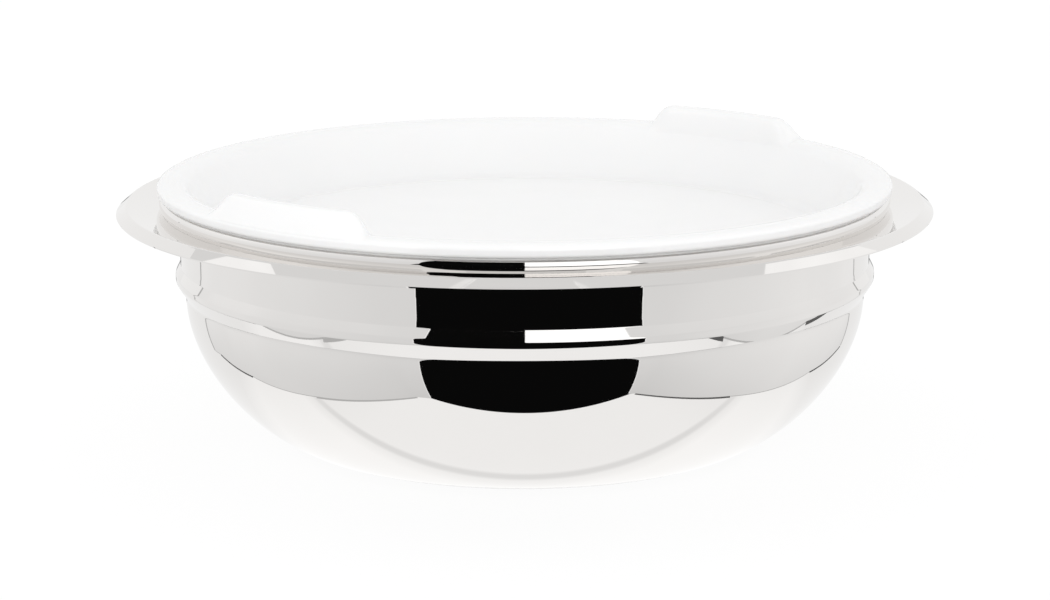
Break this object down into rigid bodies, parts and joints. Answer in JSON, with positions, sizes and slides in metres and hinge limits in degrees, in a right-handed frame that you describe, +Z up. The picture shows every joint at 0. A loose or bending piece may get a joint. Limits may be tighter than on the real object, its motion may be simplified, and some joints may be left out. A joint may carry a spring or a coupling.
{
  "type": "round chafer",
  "caption": "Mirror-polished round steel chafer vessel with a flat bottom, a beaded waist, a wide flange and a loose seat ring that holds a shallow white porcelain food pan with raised grips.",
  "frame": {"origin": "middle of the flat bottom that stands on the heater", "axes": "+Z up along the vessel's axis, -Y towards the front; the two grips of the food pan lie on a line 40.2 degrees round from the front"},
  "size_m": [0.43, 0.43, 0.1529],
  "materials": {
    "polished_steel": "mirror-polished stainless steel",
    "base_steel": "finely turned magnetic stainless steel",
    "aluminium": "as rolled, hidden inside the base",
    "silicone": "matt light grey silicone",
    "porcelain": "white, clear glossy glaze"
  },
  "bodies": {
    "vessel": {"bowl": "polished_steel", "rim_ring": "polished_steel", "heat_core": "aluminium", "base_cap": "base_steel"},
    "seat_ring": {"seat_ring": "polished_steel", "seat_gasket": "silicone"},
    "food_pan": {"food_pan": "porcelain"}
  },
  "joints": [
    {"name": "seat_ring_lift", "type": "slide", "parent": "vessel", "child": "seat_ring", "axis": [0, 0, 1], "range_m": [0, 0.06]},
    {"name": "food_pan_lift", "type": "slide", "parent": "seat_ring", "child": "food_pan", "axis": [0, 0, 1], "range_m": [0, 0.08]}
  ]
}
